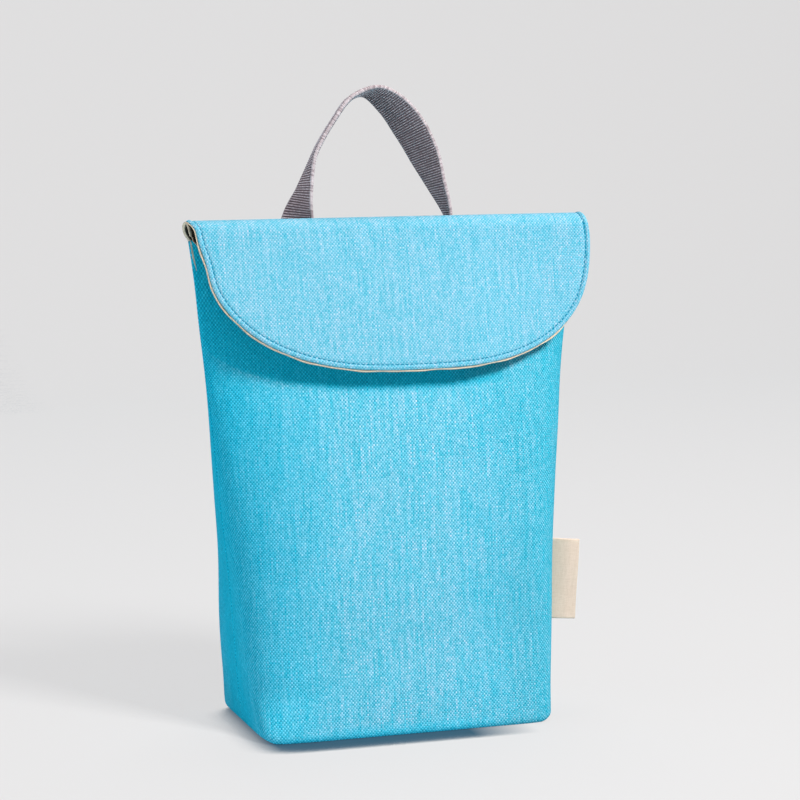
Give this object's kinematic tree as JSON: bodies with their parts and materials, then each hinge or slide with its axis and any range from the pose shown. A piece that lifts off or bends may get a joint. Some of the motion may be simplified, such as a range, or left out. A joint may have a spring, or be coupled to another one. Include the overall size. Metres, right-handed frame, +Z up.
{
  "type": "diaper bag",
  "caption": "Soft upright cloth pouch with a boxed base, a lined rounded flap folded over its mouth, a webbing carrying loop sewn to the back and a folded tag in the side seam.",
  "frame": {"origin": "middle of the base, on the surface that the bag stands on", "axes": "+Z up to the handle, the front with the hanging flap faces -Y, the tag is on the +X side"},
  "size_m": [0.2534, 0.093, 0.3839],
  "materials": {
    "pouch_cloth": "heathered light blue woven cloth, matte",
    "flap_cloth": "heathered light blue woven cloth, matte",
    "lining_cloth": "plain cream cloth, matte",
    "webbing": "ribbed grey webbing, matte",
    "tag_tape": "blank cream woven tape, soft sheen"
  },
  "bodies": {
    "root": {"front_panel": "pouch_cloth", "back_panel": "pouch_cloth", "flap_outer": "flap_cloth", "flap_lining": "lining_cloth", "handle_strap": "webbing", "label_tag": "tag_tape"}
  },
  "joints": []
}
